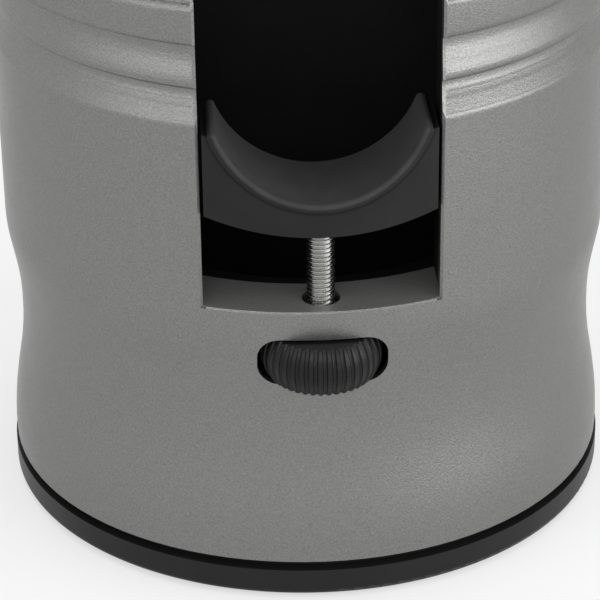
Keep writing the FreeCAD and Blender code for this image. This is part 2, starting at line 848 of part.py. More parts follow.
board_y = liner_outer_rear + board_stand
board_post_places = both_sides((board_post_x, board_bottom + board_post_inset))
board_post_places += both_sides((board_post_x, board_top - board_post_inset))
board_face = board_y + board_thickness
board_screw_end = board_y - board_screw_reach
jamb_inner = slot_half_width + jamb_offset
jamb_outer = jamb_inner + liner_wall
jamb_front = -math.sqrt(inner_radius ** 2 - jamb_outer ** 2)
liner = tub(liner_wall, well_underside, well_step - liner_wall, liner_top)
for sign in (-1, 1):
    span = sorted((sign * jamb_inner, sign * jamb_outer))
    liner = liner.fuse(box(span[0], span[1], jamb_front, jamb_rear, sill_height, mouth_bottom))
for x, z in board_post_places:
    liner = liner.fuse(rod_y(board_post_radius, liner_rear + sink, board_y, x, z))
for x, y in liner_leg_places:
    liner = liner.fuse(cyl(liner_leg_radius, frame_top, well_floor - sink, x, y))
liner = liner.cut(tub(0, well_floor, well_step, liner_top + past))
liner = liner.cut(box(-jamb_inner, jamb_inner, -outside, jamb_rear, sill_height, liner_top + past))
mouth_clear = box(-mouth_half_width, mouth_half_width, -outside, front_rod[1], mouth_bottom, liner_top + past)
liner = liner.cut(mouth_clear)
ledge_side = sill_half_width + ledge_gap
ledge_room = ring(bore_radius, sill_rear_radius - ledge_gap, ear_bottom, sill_height)
liner = liner.cut(ledge_room.common(box(-ledge_side, ledge_side, -outside, 0, ear_bottom, sill_height)))
liner = liner.fuse(cyl(well_boss_radius, well_floor - sink, well_floor + well_boss_height))
for x, z in board_post_places:
    liner = liner.cut(rod_y(board_screw_radius, board_screw_end - past, board_y + past, x, z))
liner_screw_top = frame_top + m3_reach
liner = drilled(liner, m3_tap, frame_top - past, liner_screw_top + past, liner_leg_places)
save("well_liner", liner.removeSplitter())
save("liner_screws", [
    screw_up(m3_head_radius, m3_head, m3_radius, liner_screw_top - liner_screw_seat, x, y, liner_screw_seat)
    for x, y in liner_leg_places
])

# Press frame: tie rods, spacers, nuts, fork plate, top plate and motor plate
rod_top = motor_plate_top + hex_nut_height + rod_end
save("tie_rods", [cyl(rod_radius, frame_bottom + rod_recess, rod_top, x, y) for x, y in rod_places])


def spacers(z0, z1):
    return [ring(spacer_radius, rod_hole, z0, z1, x, y) for x, y in rod_places]


save("lower_spacers", spacers(frame_top, fork_bottom))
save("guide_spacers", spacers(fork_top, top_plate_bottom))
save("plate_spacers", spacers(top_plate_top, motor_plate_bottom))
nuts = []
for z in (frame_bottom, motor_plate_top):
    for x, y in rod_places:
        nut = hexagon(hex_nut_flats, z, z + hex_nut_height, x, y)
        nuts.append(drilled(nut, rod_radius, z - past, z + hex_nut_height + past, [(x, y)]))
save("tie_nuts", nuts)

plate_radius = bore_radius - plate_gap
fork_half_width = front_rod[0] - fork_arm_width
fork_clear = cyl(fork_half_width, fork_bottom - past, fork_top + past, 0, ram_y)
fork_mouth = box(-fork_half_width, fork_half_width, -outside, ram_y, fork_bottom - past, fork_top + past)
fork_end = box(-outside, outside, -outside, fork_front, fork_bottom - past, fork_top + past)
fork = cyl(plate_radius, fork_bottom, fork_top).cut([fork_clear, fork_mouth, fork_end])
save("holder_fork", drilled(fork, rod_hole, fork_bottom - past, fork_top + past, rod_places))
fork_pad_inner = fork_half_width + fork_pad_edge
fork_pad_outer = fork_pad_inner + fork_pad_width
pad_blocks = []
for sign in (-1, 1):
    span = sorted((sign * fork_pad_inner, sign * fork_pad_outer))
    outline = rectangle(span[0], span[1], fork_pad_front, fork_pad_rear, fork_pad_corner)
    pad_blocks.append(prism_z(outline, fork_top, fork_top + fork_pad_thickness))
save("fork_pads", pad_blocks)
sensor_front = ram_y + fork_half_width + sensor_setback
sensor_bottom = fork_bottom - sensor_height
sensor = box(-sensor_half_width, sensor_half_width, sensor_front, sensor_front + sensor_depth,
             sensor_bottom, fork_bottom)
sensor_eye = rod_y(sensor_eye_radius, sensor_front - sensor_eye_length, sensor_front, 0,
                   sensor_bottom + sensor_height / 2)
save("cup_sensor", sensor.fuse(sensor_eye).removeSplitter())

motor_y = ram_y + gear_module * (gear_teeth + pinion_teeth) / 2 + centre_gap
ram_place = [(0.0, ram_y)]
motor_place = [(0.0, motor_y)]
drive_bore = drive_nut_radius + running_gap
drive_bush_outer = drive_nut_radius + drive_bush_wall
motor_screw_places = around(gearbox_radius - motor_screw_inset, (30, 150, 210, 330), 0, motor_y)
cover_post_places = around(cover_screw_circle, cover_screw_angles)
top_plate = cyl(plate_radius, top_plate_bottom, top_plate_top)
top_plate = drilled(top_plate, drive_bush_outer, top_plate_bottom - past, top_plate_top + past, ram_place)
top_plate = drilled(top_plate, rod_hole, top_plate_bottom - past, top_plate_top + past, rod_places)
save("top_plate", top_plate)
motor_plate = cyl(plate_radius, motor_plate_bottom, motor_plate_top)
motor_plate_holes = [
    (drive_bush_outer, ram_place),
    (motor_shaft_radius + motor_shaft_room, motor_place),
    (rod_hole, rod_places),
    (m3_hole, motor_screw_places),
]
for radius, places in motor_plate_holes:
    motor_plate = drilled(motor_plate, radius, motor_plate_bottom - past, motor_plate_top + past, places)
save("motor_plate", motor_plate)


# Drive: bushes, nut, gear, collar, pinion and motor
def drive_bush(z0, z1, flange_bottom):
    """A bush through one plate, with a flange that faces the gear."""
    sleeve = ring(drive_bush_outer, drive_bore, z0, z1, 0, ram_y)
    flange_radius = drive_bush_outer + drive_flange_width
    flange = ring(flange_radius, drive_bore, flange_bottom, flange_bottom + drive_flange, 0, ram_y)
    return sleeve.fuse(flange).removeSplitter()


upper_flange_bottom = motor_plate_bottom - drive_flange
save("drive_bushes", [
    drive_bush(top_plate_bottom, top_plate_top + drive_flange, top_plate_top),
    drive_bush(upper_flange_bottom, motor_plate_top, upper_flange_bottom),
])
drive_nut_bottom = top_plate_bottom + drive_nut_recess
drive_nut_top = motor_plate_top + drive_nut_end
drive_nut = cyl(drive_nut_radius, drive_nut_bottom, drive_nut_top, 0, ram_y)
drive_nut = drive_nut.fuse(cyl(collar_radius, shoulder_bottom, gear_bottom, 0, ram_y)).removeSplitter()
drive_nut = drilled(drive_nut, ram_crest + ram_thread_gap, drive_nut_bottom - past,
                    drive_nut_top + past, ram_place)
save("drive_nut", drive_nut)
save("drive_gear", spur_gear(gear_teeth, drive_nut_radius, gear_bottom, gear_top, 0, ram_y, math.pi / 2))
save("thrust_collar", ring(collar_radius, drive_nut_radius, gear_top, collar_top, 0, ram_y))
pinion_turn = math.pi / pinion_teeth - math.pi / 2
save("motor_pinion", spur_gear(pinion_teeth, motor_shaft_radius, gear_bottom, gear_top, 0, motor_y,
                               pinion_turn))
shaft_top = motor_plate_top + motor_shaft_depth
save("motor_shaft", cyl(motor_shaft_radius, gear_bottom - past, shaft_top, 0, motor_y))
gearbox = cyl(gearbox_radius, motor_plate_top, gearbox_top, 0, motor_y)
gearbox = drilled(gearbox, motor_shaft_radius + motor_shaft_gap, motor_plate_top - past,
                  shaft_top + past, motor_place)
motor_screw_top = motor_plate_top + motor_screw_reach
gearbox = drilled(gearbox, m3_tap, motor_plate_top - past, motor_screw_top + past, motor_screw_places)
save("motor_gearbox", gearbox)
motor = cyl(motor_radius, gearbox_top, motor_top, 0, motor_y)
motor_boss = cyl(motor_boss_radius, motor_top - sink, motor_top + motor_boss_height, 0, motor_y)
save("drive_motor", motor.fuse(motor_boss).removeSplitter())
motor_screw_length = motor_screw_top - motor_plate_bottom
save("motor_screws", [
    screw_up(m3_head_radius, m3_head, m3_radius, motor_screw_length, x, y, motor_plate_bottom)
    for x, y in motor_screw_places
])

# Ram, crosshead, guide bushes and tamping head
crosshead_top = top_plate_bottom - press_headroom
crosshead_bottom = crosshead_top - crosshead_thickness
tamp_bottom = crosshead_bottom - tamp_reach
tamp_top = tamp_bottom + tamp_disc
spigot_bottom = tamp_bottom + tamp_face
ram = threaded_rod(ram_pitch, ram_turns, ram_root, ram_crest, 0, ram_y, crosshead_top)
save("ram_screw", ram.fuse(cyl(ram_spigot, spigot_bottom, crosshead_top, 0, ram_y)))


def crosshead_arm(place):
    """A straight arm between the ram and one guide."""
    run = Vec(place[0], place[1] - ram_y, 0)
    arm = box(0, run.Length, -crosshead_ear, crosshead_ear, crosshead_bottom, crosshead_top)
    arm.rotate(Vec(0, 0, 0), Vec(0, 0, 1), math.degrees(math.atan2(run.y, run.x)))
    arm.translate(Vec(0, ram_y, 0))
    return arm


bush_outer = spacer_radius + bush_wall
pieces = [cyl(crosshead_boss, crosshead_bottom, crosshead_top, 0, ram_y)]
for place in rear_places:
    pieces.append(cyl(crosshead_ear, crosshead_bottom, crosshead_top, place[0], place[1]))
    pieces.append(crosshead_arm(place))
crosshead = joined(pieces).common(cyl(plate_radius, crosshead_bottom, crosshead_top))
crosshead = drilled(crosshead, ram_spigot, crosshead_bottom - past, crosshead_top + past, ram_place)
crosshead = drilled(crosshead, bush_outer, crosshead_bottom - past, crosshead_top + past, rear_places)
save("crosshead", crosshead)
bush_bottom = (crosshead_bottom + crosshead_top - bush_length) / 2
save("guide_bushes", [
    ring(bush_outer, spacer_radius + running_gap, bush_bottom, bush_bottom + bush_length, x, y)
    for x, y in rear_places
])
tamp_head = turned(chain([
    (0, tamp_bottom),
    (tamp_radius - tamp_edge, tamp_bottom),
    (tamp_radius, tamp_bottom + tamp_edge),
    (tamp_radius, tamp_top - tamp_slope_height),
    (tamp_radius - tamp_slope_run, tamp_top),
    (tamp_hub_radius, tamp_top),
    (tamp_hub_radius, crosshead_bottom),
    (ram_spigot, crosshead_bottom),
    (ram_spigot, spigot_bottom),
    (0, spigot_bottom),
    (0, tamp_bottom),
]))
tamp_head.translate(Vec(0, ram_y, 0))
save("tamp_head", tamp_head)

# Top cover with its gasket, lens and posts
cover_seat = shell_top + gasket_thickness
skirt_outer = bore_radius - skirt_gap
skirt_inner = skirt_outer - skirt_wall
skirt_bottom = shell_top - skirt_depth
round_top = (upper_radius - cover_edge_round, cover_top)
round_side = (upper_radius, cover_top - cover_edge_round)
cover_outline = [quarter_round(round_top, (upper_radius, cover_top), round_side)]
cover_outline += chain([
    round_side,
    (upper_radius, cover_seat),
    (skirt_outer, cover_seat),
    (skirt_outer, skirt_bottom),
    (skirt_inner, skirt_bottom),
    (skirt_inner, cover_inner_top - cover_inner_slope),
    (skirt_inner - cover_inner_slope, cover_inner_top),
    (0, cover_inner_top),
    (0, cover_top),
    round_top,
])


def lens_shape(grow, z0, z1):
    half_width = lens_half_width + grow
    front = lens_y - lens_half_depth - grow
    rear = lens_y + lens_half_depth + grow
    return prism_z(rectangle(-half_width, half_width, front, rear, lens_corner + grow), z0, z1)


board_top_face = display_board_bottom + board_thickness
display_boss_x = display_board_half_width - display_boss_inset
display_boss_places = both_sides((display_boss_x, display_board_front + display_boss_inset))
display_boss_places += both_sides((display_boss_x, display_board_rear - display_boss_inset))
cover = turned(cover_outline)
for x, y in display_boss_places:
    cover = cover.fuse(cyl(display_boss_radius, board_top_face, cover_inner_top + sink, x, y))
lens_seat = cover_top - lens_thickness
cover = cover.cut(lens_shape(lens_gap, lens_seat, cover_top + past))
cover = cover.cut(lens_shape(-lens_ledge, cover_inner_top - past, cover_top))
cover_screw_seat = cover_top - m3_thin_sink
cover_holes = [
    (button_radius + button_gap, cover_inner_top - past, button_places.values()),
    (m3_hole, cover_inner_top - past, cover_post_places),
    (m3_head_radius + head_gap, cover_screw_seat, cover_post_places),
]
for radius, bottom, places in cover_holes:
    cover = drilled(cover, radius, bottom, cover_top + past, places)
display_screw_top = board_top_face + board_screw_reach
cover = drilled(cover, board_screw_radius, board_top_face - past, display_screw_top, display_boss_places)
save("top_cover", cover.removeSplitter())
save("cover_gasket", ring(upper_radius - gasket_inset, bore_radius, shell_top, cover_seat))
save("display_lens", lens_shape(0, lens_seat, cover_top))
save("cover_posts", [
    ring(cover_post_radius, m3_tap, motor_plate_top, cover_inner_top, x, y) for x, y in cover_post_places
])
cover_screw_length = m3_reach + cover_wall - m3_thin_sink
save("cover_screws", [
    screw_down(m3_head_radius, m3_thin_head, m3_radius, cover_screw_length, x, y, cover_screw_seat)
    for x, y in cover_post_places
])

# Buttons, their switches and the display board
flange_top = cover_inner_top - button_play
flange_bottom = flange_top - button_flange_height
stem_bottom = flange_bottom - button_stem_length
button_top = cover_top + button_lift
for name, place in button_places.items():
    cap = cyl(button_radius, flange_top, button_top, place[0], place[1])
    rim = [e for e in cap.Edges if e.BoundBox.ZMin > button_top - seat_gap]
    cap = cap.makeFillet(button_round, rim)
    cap = cap.fuse(cyl(button_radius + button_flange_width, flange_bottom, flange_top, place[0], place[1]))
    cap = cap.fuse(cyl(button_stem_radius, stem_bottom, flange_bottom, place[0], place[1]))
    save(name, cap.removeSplitter())
key_top = stem_bottom - button_travel - button_play
save("key_switches", [
    box(x - key_half_width, x + key_half_width, y - key_half_width, y + key_half_width, board_top_face,
        key_top)
    for x, y in button_places.values()
])
display_outline = rectangle(-display_board_half_width, display_board_half_width, display_board_front,
                            display_board_rear, display_board_corner)
display_board = prism_z(display_outline, display_board_bottom, board_top_face)
display_board = drilled(display_board, board_screw_hole, display_board_bottom - past, board_top_face + past,
                        display_boss_places)
save("display_board", display_board)
display_half_width = lens_half_width - display_panel_inset
display_half_depth = lens_half_depth - display_panel_inset
save("display_panel", box(-display_half_width, display_half_width, lens_y - display_half_depth,
                          lens_y + display_half_depth, board_top_face, board_top_face + display_panel_height))

# Rear panel, power inlet and rocker switch
panel_face = bore_radius + panel_stand
panel_outer = panel_half_width + panel_lip
panel_step = math.sqrt(inner_radius ** 2 - panel_outer ** 2)
inlet_height = panel_bottom + inlet_rise
switch_height = panel_bottom + switch_rise


def on_panel(half_width, y0, y1, half_height):
    """A block on the panel, centred on the switch."""
    return box(-half_width, half_width, y0, y1, switch_height - half_height, switch_height + half_height)


plug_half_width = panel_half_width - panel_gap
plug = box(-plug_half_width, plug_half_width, panel_step - sink, panel_face,
           panel_bottom + panel_gap, panel_top - panel_gap)
flange = box(-panel_outer, panel_outer, panel_step - panel_flange, panel_step,
             panel_bottom - panel_lip, panel_top + panel_lip)
inlet_opening = rod_y(inlet_radius + panel_fit, 0, outside, 0, inlet_height)
switch_opening = on_panel(switch_half_width + panel_fit, 0, outside, switch_half_height + panel_fit)
save("rear_panel", plug.fuse(flange).removeSplitter().cut([inlet_opening, switch_opening]))
inlet_front = panel_face + inlet_flange
inlet_seat = inlet_front - inlet_bore_depth
inlet = rod_y(inlet_radius, panel_step - inlet_length, panel_face, 0, inlet_height)
inlet = inlet.fuse(rod_y(inlet_radius + inlet_flange_width, panel_face, inlet_front, 0, inlet_height))
inlet = inlet.removeSplitter().cut(rod_y(inlet_bore, inlet_seat, inlet_front + past, 0, inlet_height))
save("power_inlet", inlet)
save("inlet_pin", rod_y(inlet_pin_radius, inlet_seat, inlet_front - inlet_pin_recess, 0, inlet_height))
switch_front = panel_face + switch_stand
switch = on_panel(switch_half_width, panel_step - switch_length, panel_face, switch_half_height)
switch = switch.fuse(on_panel(switch_half_width + switch_rim, panel_face, switch_front,
                              switch_half_height + switch_rim))
rocker_well = on_panel(rocker_half_width + rocker_side_room, panel_face - switch_depth, switch_front + past,
                       rocker_half_height + rocker_end_room)
save("switch_body", switch.removeSplitter().cut(rocker_well))
rocker_pivot_y = panel_face - rocker_pivot_depth
rocker_outline = [
    (rocker_pivot_y - rocker_heel, switch_height - rocker_heel, rocker_round),
    (rocker_pivot_y + rocker_shoulder, switch_height - rocker_half_height, rocker_round),
    (rocker_pivot_y + rocker_tip, switch_height - rocker_half_height, rocker_round),
    (rocker_pivot_y + rocker_dip, switch_height, 0),
    (rocker_pivot_y + rocker_tip, switch_height + rocker_half_height, rocker_round),
    (rocker_pivot_y + rocker_shoulder, switch_height + rocker_half_height, rocker_round),
    (rocker_pivot_y - rocker_heel, switch_height + rocker_heel, rocker_round),
]
rocker_face = Part.Face(rounded_outline(rocker_outline))
rocker_face.rotate(Vec(0, 0, 0), Vec(1, 1, 1), 120)
rocker = rocker_face.extrude(Vec(2 * rocker_half_width, 0, 0))
rocker.translate(Vec(-rocker_half_width, 0, 0))
rocker.rotate(Vec(0, rocker_pivot_y, switch_height), Vec(1, 0, 0), -rocker_tilt)
save("power_rocker", rocker)

# Control board on the back of the well liner, and the screws of both boards
board = box(-board_half_width, board_half_width, board_y, board_face, board_bottom, board_top)
for x, z in board_post_places:
    board = board.cut(rod_y(board_screw_hole, board_y - past, board_face + past, x, z))
save("control_board", board)
components = [
    rod_y(capacitor_radius, board_face, board_face + capacitor_height, x, z) for x, z in capacitor_places
]
for x0, x1, z0, z1, height in board_blocks:
    components.append(box(x0, x1, board_face, board_face + height, z0, z1))
save("board_components", components)
screws = []
for x, z in board_post_places:
    head = rod_y(board_screw_head_radius, board_face, board_face + board_screw_head, x, z)
    shank = rod_y(board_screw_radius, board_screw_end, board_face, x, z)
    screws.append(head.fuse(shank).removeSplitter())
for x, y in display_boss_places:
    head = cyl(board_screw_head_radius, display_board_bottom - board_screw_head, display_board_bottom, x, y)
    shank = cyl(board_screw_radius, display_board_bottom, display_screw_top, x, y)
    screws.append(head.fuse(shank).removeSplitter())
save("board_screws", screws)
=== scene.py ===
import math

import bmesh
import bpy
from mathutils import Euler, Matrix, Vector


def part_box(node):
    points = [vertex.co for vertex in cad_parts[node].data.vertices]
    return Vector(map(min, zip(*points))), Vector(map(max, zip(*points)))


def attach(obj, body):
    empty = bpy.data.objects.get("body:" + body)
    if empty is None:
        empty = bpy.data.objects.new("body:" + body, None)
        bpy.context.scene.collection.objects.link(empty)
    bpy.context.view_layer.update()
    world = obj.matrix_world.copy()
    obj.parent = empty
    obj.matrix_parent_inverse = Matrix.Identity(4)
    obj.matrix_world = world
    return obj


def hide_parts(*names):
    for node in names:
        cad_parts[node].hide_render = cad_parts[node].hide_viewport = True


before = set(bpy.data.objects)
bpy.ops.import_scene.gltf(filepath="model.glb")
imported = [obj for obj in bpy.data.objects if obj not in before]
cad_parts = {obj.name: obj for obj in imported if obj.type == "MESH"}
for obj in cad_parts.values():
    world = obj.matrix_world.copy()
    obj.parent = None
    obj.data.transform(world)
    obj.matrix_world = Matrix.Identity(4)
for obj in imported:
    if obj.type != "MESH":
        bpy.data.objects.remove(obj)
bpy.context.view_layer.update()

MM = 0.001

# Jack screw: an M6 thread, one turn per millimetre
THREAD_PITCH = 1.0 * MM
THREAD_ROOT = 2.4 * MM
THREAD_CREST = 2.98 * MM
THREAD_FLAT = 0.16 * MM
THREAD_STEPS = 32
THREAD_WELD = 0.01 * MM

# Housing: its radius, its sill, its slot with the edge that the bead relief leaves out, and the line of its
# beads as pairs of height and depth in mm, from the lowest up, with the arrises rounded
HOUSING_RADIUS = 69.0 * MM
SILL_HEIGHT = 70.3 * MM
SILL_REACH = 0.6 * MM
SILL_EDGE = 0.4 * MM
SLOT_EDGE_START = 25.5 * MM
SLOT_EDGE_END = 25.7 * MM
BEAD_DEPTH = 2.0 * MM
BEAD_LINE = [
    (110.0, 0.0), (110.8, 0.0), (112.3, 0.28), (114.4, 0.93), (116.2, 1.56), (117.9, 1.94), (118.6, 1.95),
    (119.3, 1.1), (119.8, 0.9), (120.4, 0.86), (120.9, 0.91), (122.4, 1.2), (124.0, 1.61),
    (125.1, 1.82), (127.1, 1.98), (127.9, 1.95), (128.9, 0.3), (129.4, 0.08), (129.9, 0.0),
    (135.6, 0.0), (136.5, 0.16), (137.7, 0.84), (138.7, 1.26), (139.9, 1.49), (141.0, 1.5),
]
SHELL_METALLIC = 0.85
SILL_METALLIC = 0.35

# The grit of the blasting is about 0.1 mm, which is too fine to show, so it is drawn coarser. The shine
# wanders over clouds
GRIT_SIZE = 0.35 * MM
GRIT_RELIEF = 0.1 * MM
CLOUD_SIZE = 9.0 * MM

# Saddle: the axis of its trough, the radius of its lining, the width of the painted shadow line beside the
# lining, and how far inside that radius the painted shade on the face of the lining's front bead begins and
# is darkest
TROUGH_HEIGHT = 118.0 * MM
LINING_RADIUS = 24.7 * MM
SADDLE_SHADOW_WIDTH = 0.9 * MM
BEAD_SHADE_START = 1.3 * MM
BEAD_SHADE_FULL = 0.7 * MM

# Marks printed on the buttons, and the share of a bar's thickness that its edges are rounded by
MARK_LENGTH = 5.0 * MM
MARK_WIDTH = 0.9 * MM
MARK_THICKNESS = 0.06 * MM
BAR_ROUND = 0.3

# Seven-bar figures behind the display window
FIGURE_HEIGHT = 9.0 * MM
FIGURE_WIDTH = 5.0 * MM
FIGURE_BAR = 1.0 * MM
FIGURE_STEP = 8.0 * MM
FIGURE_THICKNESS = 2 * MARK_THICKNESS

# Noise keeps mostly between the first two values, so they are stretched over each pair of tones or of
# roughnesses. The third is the share of its strength that each finer layer of noise keeps
NOISE_LOW = 0.3
NOISE_HIGH = 0.7
NOISE_ROUGHNESS = 0.6

# View of the photograph: where the camera stands, its tilt up from straight down, its roll and its heading in
# degrees, and its lens and film in mm
CAMERA_PLACE = Vector((-30.290, -543.137, 318.580)) * MM
CAMERA_TILT = 62.7065
CAMERA_ROLL = 0.6270
CAMERA_HEADING = -3.3993
CAMERA_LENS = 154.54
CAMERA_FILM = 36.0
CAMERA_CLIP = 10.0 * MM

# Studio: the light of the air, and the floor's half width, the white it shows of itself near the object, and
# the distances in metres over which it fades into the air
AIR_LIGHT = 0.5
FLOOR_HALF_WIDTH = 4.0
FLOOR_GLOW = 0.55
FLOOR_FADE_START = 0.4
FLOOR_FADE_END = 1.2

# Soft boxes: place, target, width and height in metres, and watts
LAMPS = {
    "left_soft_box": ((-0.9, -0.5, 0.7), (0, 0, 0.12), (0.5, 0.9), 1.8),
    "right_soft_box": ((0.8, -0.5, 0.35), (0, 0, 0.08), (0.9, 0.6), 5.4),
    "front_soft_box": ((-0.2, -1.3, 0.95), (0, 0, 0.1), (1.4, 0.5), 7.0),
    "top_soft_box": ((0, 0.1, 1.3), (0, 0, 0.1), (0.9, 0.6), 5.0),
}


def linear(hex_colour):
    """An sRGB hex colour as linear red, green, blue and alpha."""
    values = [int(hex_colour[k:k + 2], 16) / 255 for k in (1, 3, 5)]
    return [v / 12.92 if v <= 0.04045 else ((v + 0.055) / 1.055) ** 2.4 for v in values] + [1.0]


def add(tree, kind, inputs=(), **settings):
    """Adds a node with its settings, its constant inputs and its links."""
    made = tree.nodes.new(kind)
    for name, value in settings.items():
        setattr(made, name, value)
    for key, value in dict(inputs).items():
        if isinstance(value, bpy.types.NodeSocket):
            tree.links.new(value, made.inputs[key])
        else:
            made.inputs[key].default_value = value
    return made


def new_material(name, **sockets):
    """A material with one shader, whose constant values are set on the shader's own sockets."""
    material = bpy.data.materials.new(name)
    material.use_nodes = True
    tree = material.node_tree
    shader = tree.nodes["Principled BSDF"]
    for socket, value in sockets.items():
        shader.inputs[socket.replace("_", " ")].default_value = value
    place = add(tree, "ShaderNodeTexCoord").outputs["Object"]
    return material, tree, shader, place


def coat(tree, shader, pattern, tones, gloss_pattern=None, roughness=None):
    """Colours a shader between two tones by one pattern, and roughens it between two levels by another."""
    span = {"Value": pattern, "From Min": NOISE_LOW, "From Max": NOISE_HIGH}
    share = add(tree, "ShaderNodeMapRange", span).outputs["Result"]
    ends = {0: share, 6: linear(tones[0]), 7: linear(tones[1])}
    colour = add(tree, "ShaderNodeMix", ends, data_type="RGBA").outputs[2]
    tree.links.new(colour, shader.inputs["Base Color"])
    if roughness is not None:
        span = {"Value": gloss_pattern, "From Min": NOISE_LOW, "From Max": NOISE_HIGH,
                "To Min": roughness[0], "To Max": roughness[1]}
        level = add(tree, "ShaderNodeMapRange", span).outputs["Result"]
        tree.links.new(level, shader.inputs["Roughness"])
    return colour


def surface(name, tones, blotch, roughness, texture, relief=None, detail=(2.0, 2.0), stretch=(1, 1, 1),
            **sockets):
    """A material whose colour wanders over blotches, and whose roughness and relief follow a finer texture.

    Blotch and texture are grain sizes, each with its detail, and relief is a depth with a strength.
    """
    material, tree, shader, place = new_material(name, **sockets)
    broad = {"Vector": place, "Scale": 1 / blotch, "Detail": detail[0], "Roughness": NOISE_ROUGHNESS}
    cloud = add(tree, "ShaderNodeTexNoise", broad).outputs["Fac"]
    drawn = add(tree, "ShaderNodeMapping", {"Vector": place, "Scale": stretch}).outputs["Vector"]
    fine = {"Vector": drawn, "Scale": 1 / texture, "Detail": detail[1], "Roughness": NOISE_ROUGHNESS}
    skin = add(tree, "ShaderNodeTexNoise", fine).outputs["Fac"]
    coat(tree, shader, cloud, tones, skin, roughness)
    if relief is not None:
        bump = {"Height": skin, "Distance": relief[0], "Strength": relief[1]}
        tree.links.new(add(tree, "ShaderNodeBump", bump).outputs["Normal"], shader.inputs["Normal"])
    return material


def bead_blasted_aluminium():
    """Aluminium blasted with fine beads: a satin grey that glitters a little where it turns to the light."""
    material, tree, shader, place = new_material("bead_blasted_aluminium", Specular_Tint=linear("#e7e7e7"))
    split = add(tree, "ShaderNodeSeparateXYZ", {0: place}).outputs
    fine = {"Vector": place, "Scale": 1 / GRIT_SIZE, "Detail": 3.0, "Roughness": NOISE_ROUGHNESS}
    grit = add(tree, "ShaderNodeTexNoise", fine).outputs["Fac"]
    broad = {"Vector": place, "Scale": 1 / CLOUD_SIZE, "Detail": 2.0, "Roughness": NOISE_ROUGHNESS}
    cloud = add(tree, "ShaderNodeTexNoise", broad).outputs["Fac"]
    coat(tree, shader, grit, ("#70706f", "#888887"), cloud, (0.28, 0.33))

    # Relief along the line of the beads, which stand out more with it than by their shape alone
    bottom = BEAD_LINE[0][0] * MM
    top = BEAD_LINE[-1][0] * MM
    span = {"Value": split["Z"], "From Min": bottom, "From Max": top}
    rise = add(tree, "ShaderNodeMapRange", span).outputs["Result"]
    beads = add(tree, "ShaderNodeFloatCurve", {"Value": rise})
    first, *between, last = [((height * MM - bottom) / (top - bottom), 1.0 - depth * MM / BEAD_DEPTH)
                             for height, depth in BEAD_LINE]
    line = beads.mapping.curves[0].points
    line[0].location = first
    line[1].location = last
    for spot in between:
        line.new(*spot)
    beads.mapping.update()
    side = add(tree, "ShaderNodeMath", {0: split["X"]}, operation="ABSOLUTE").outputs[0]
    span = {"Value": side, "From Min": SLOT_EDGE_START, "From Max": SLOT_EDGE_END}
    past_slot = add(tree, "ShaderNodeMapRange", span).outputs["Result"]
    bump = {"Height": beads.outputs["Value"], "Distance": BEAD_DEPTH, "Strength": past_slot}
    rolled = add(tree, "ShaderNodeBump", bump).outputs["Normal"]
    bump = {"Height": grit, "Distance": GRIT_RELIEF, "Strength": 1.0, "Normal": rolled}
    tree.links.new(add(tree, "ShaderNodeBump", bump).outputs["Normal"], shader.inputs["Normal"])

    # The sill is left dull from the cutter
    flat = add(tree, "ShaderNodeVectorMath", {0: place, 1: (1, 1, 0)}, operation="MULTIPLY").outputs["Vector"]
    radius = add(tree, "ShaderNodeVectorMath", {0: flat}, operation="LENGTH").outputs["Value"]
    near = {0: split["Z"], 1: SILL_HEIGHT, 2: SILL_REACH}
    level = add(tree, "ShaderNodeMath", near, operation="COMPARE").outputs[0]
    inner = {0: radius, 1: HOUSING_RADIUS - SILL_EDGE}
    inside = add(tree, "ShaderNodeMath", inner, operation="LESS_THAN").outputs[0]
    sill = add(tree, "ShaderNodeMath", {0: level, 1: inside}, operation="MULTIPLY").outputs[0]
    span = {"Value": sill, "To Min": SHELL_METALLIC, "To Max": SILL_METALLIC}
    metal = add(tree, "ShaderNodeMapRange", span).outputs["Result"]
    tree.links.new(metal, shader.inputs["Metallic"])
    return material


def moulded_plastic(name, dark, light, rough, grit):
    """Moulded plastic with a spark-eroded texture: matt, with a soft sheen at a glance."""
    return surface(name, (dark, light), 14.0 * MM, (rough - 0.05, rough + 0.06), grit, (0.03 * MM, 0.35),
                   Specular_IOR_Level=0.22)


def moulded_rubber(name, dark, light):
    """Moulded rubber: a dull black with a greyish bloom and hardly any shine."""
    return surface(name, (dark, light), 6.0 * MM, (0.6, 0.74), 0.4 * MM, (0.02 * MM, 0.3), (4.0, 2.0),
                   Specular_IOR_Level=0.2, Sheen_Weight=0.03, Sheen_Roughness=0.5)


def machined_metal(name, dark, light, rough, mark):
    """Turned or milled metal: bright, with fine tool marks across it."""
    return surface(name, (dark, light), 8.0 * MM, (rough - 0.06, rough + 0.08), mark, (0.01 * MM, 0.3),
                   (2.0, 3.0), (0.15, 0.15, 1.0), Metallic=1.0)


def paint_trough_shade(material, darkest_at, clear, share):
    """Paints shade into a material's colour, darkest at one distance from the axis of the saddle's trough and
    clear at another.
    """
    tree = material.node_tree
    shader = tree.nodes["Principled BSDF"]
    skin = shader.inputs["Base Color"].links[0].from_socket
    place = add(tree, "ShaderNodeTexCoord").outputs["Object"]
    axis = {0: place, 1: (0, 0, TROUGH_HEIGHT)}
    shift = add(tree, "ShaderNodeVectorMath", axis, operation="SUBTRACT").outputs["Vector"]
    flat = {0: shift, 1: (1, 0, 1)}
    across = add(tree, "ShaderNodeVectorMath", flat, operation="MULTIPLY").outputs["Vector"]
    distance = add(tree, "ShaderNodeVectorMath", {0: across}, operation="LENGTH").outputs["Value"]
    # Painted shade: the colour is mixed towards near black by this share
    span = {"Value": distance, "From Min": darkest_at, "From Max": clear, "To Min": share, "To Max": 0.0}
    depth = add(tree, "ShaderNodeMapRange", span).outputs["Result"]
    ends = {0: depth, 6: skin, 7: linear("#020202")}
    tree.links.new(add(tree, "ShaderNodeMix", ends, data_type="RGBA").outputs[2], shader.inputs["Base Color"])
    return material


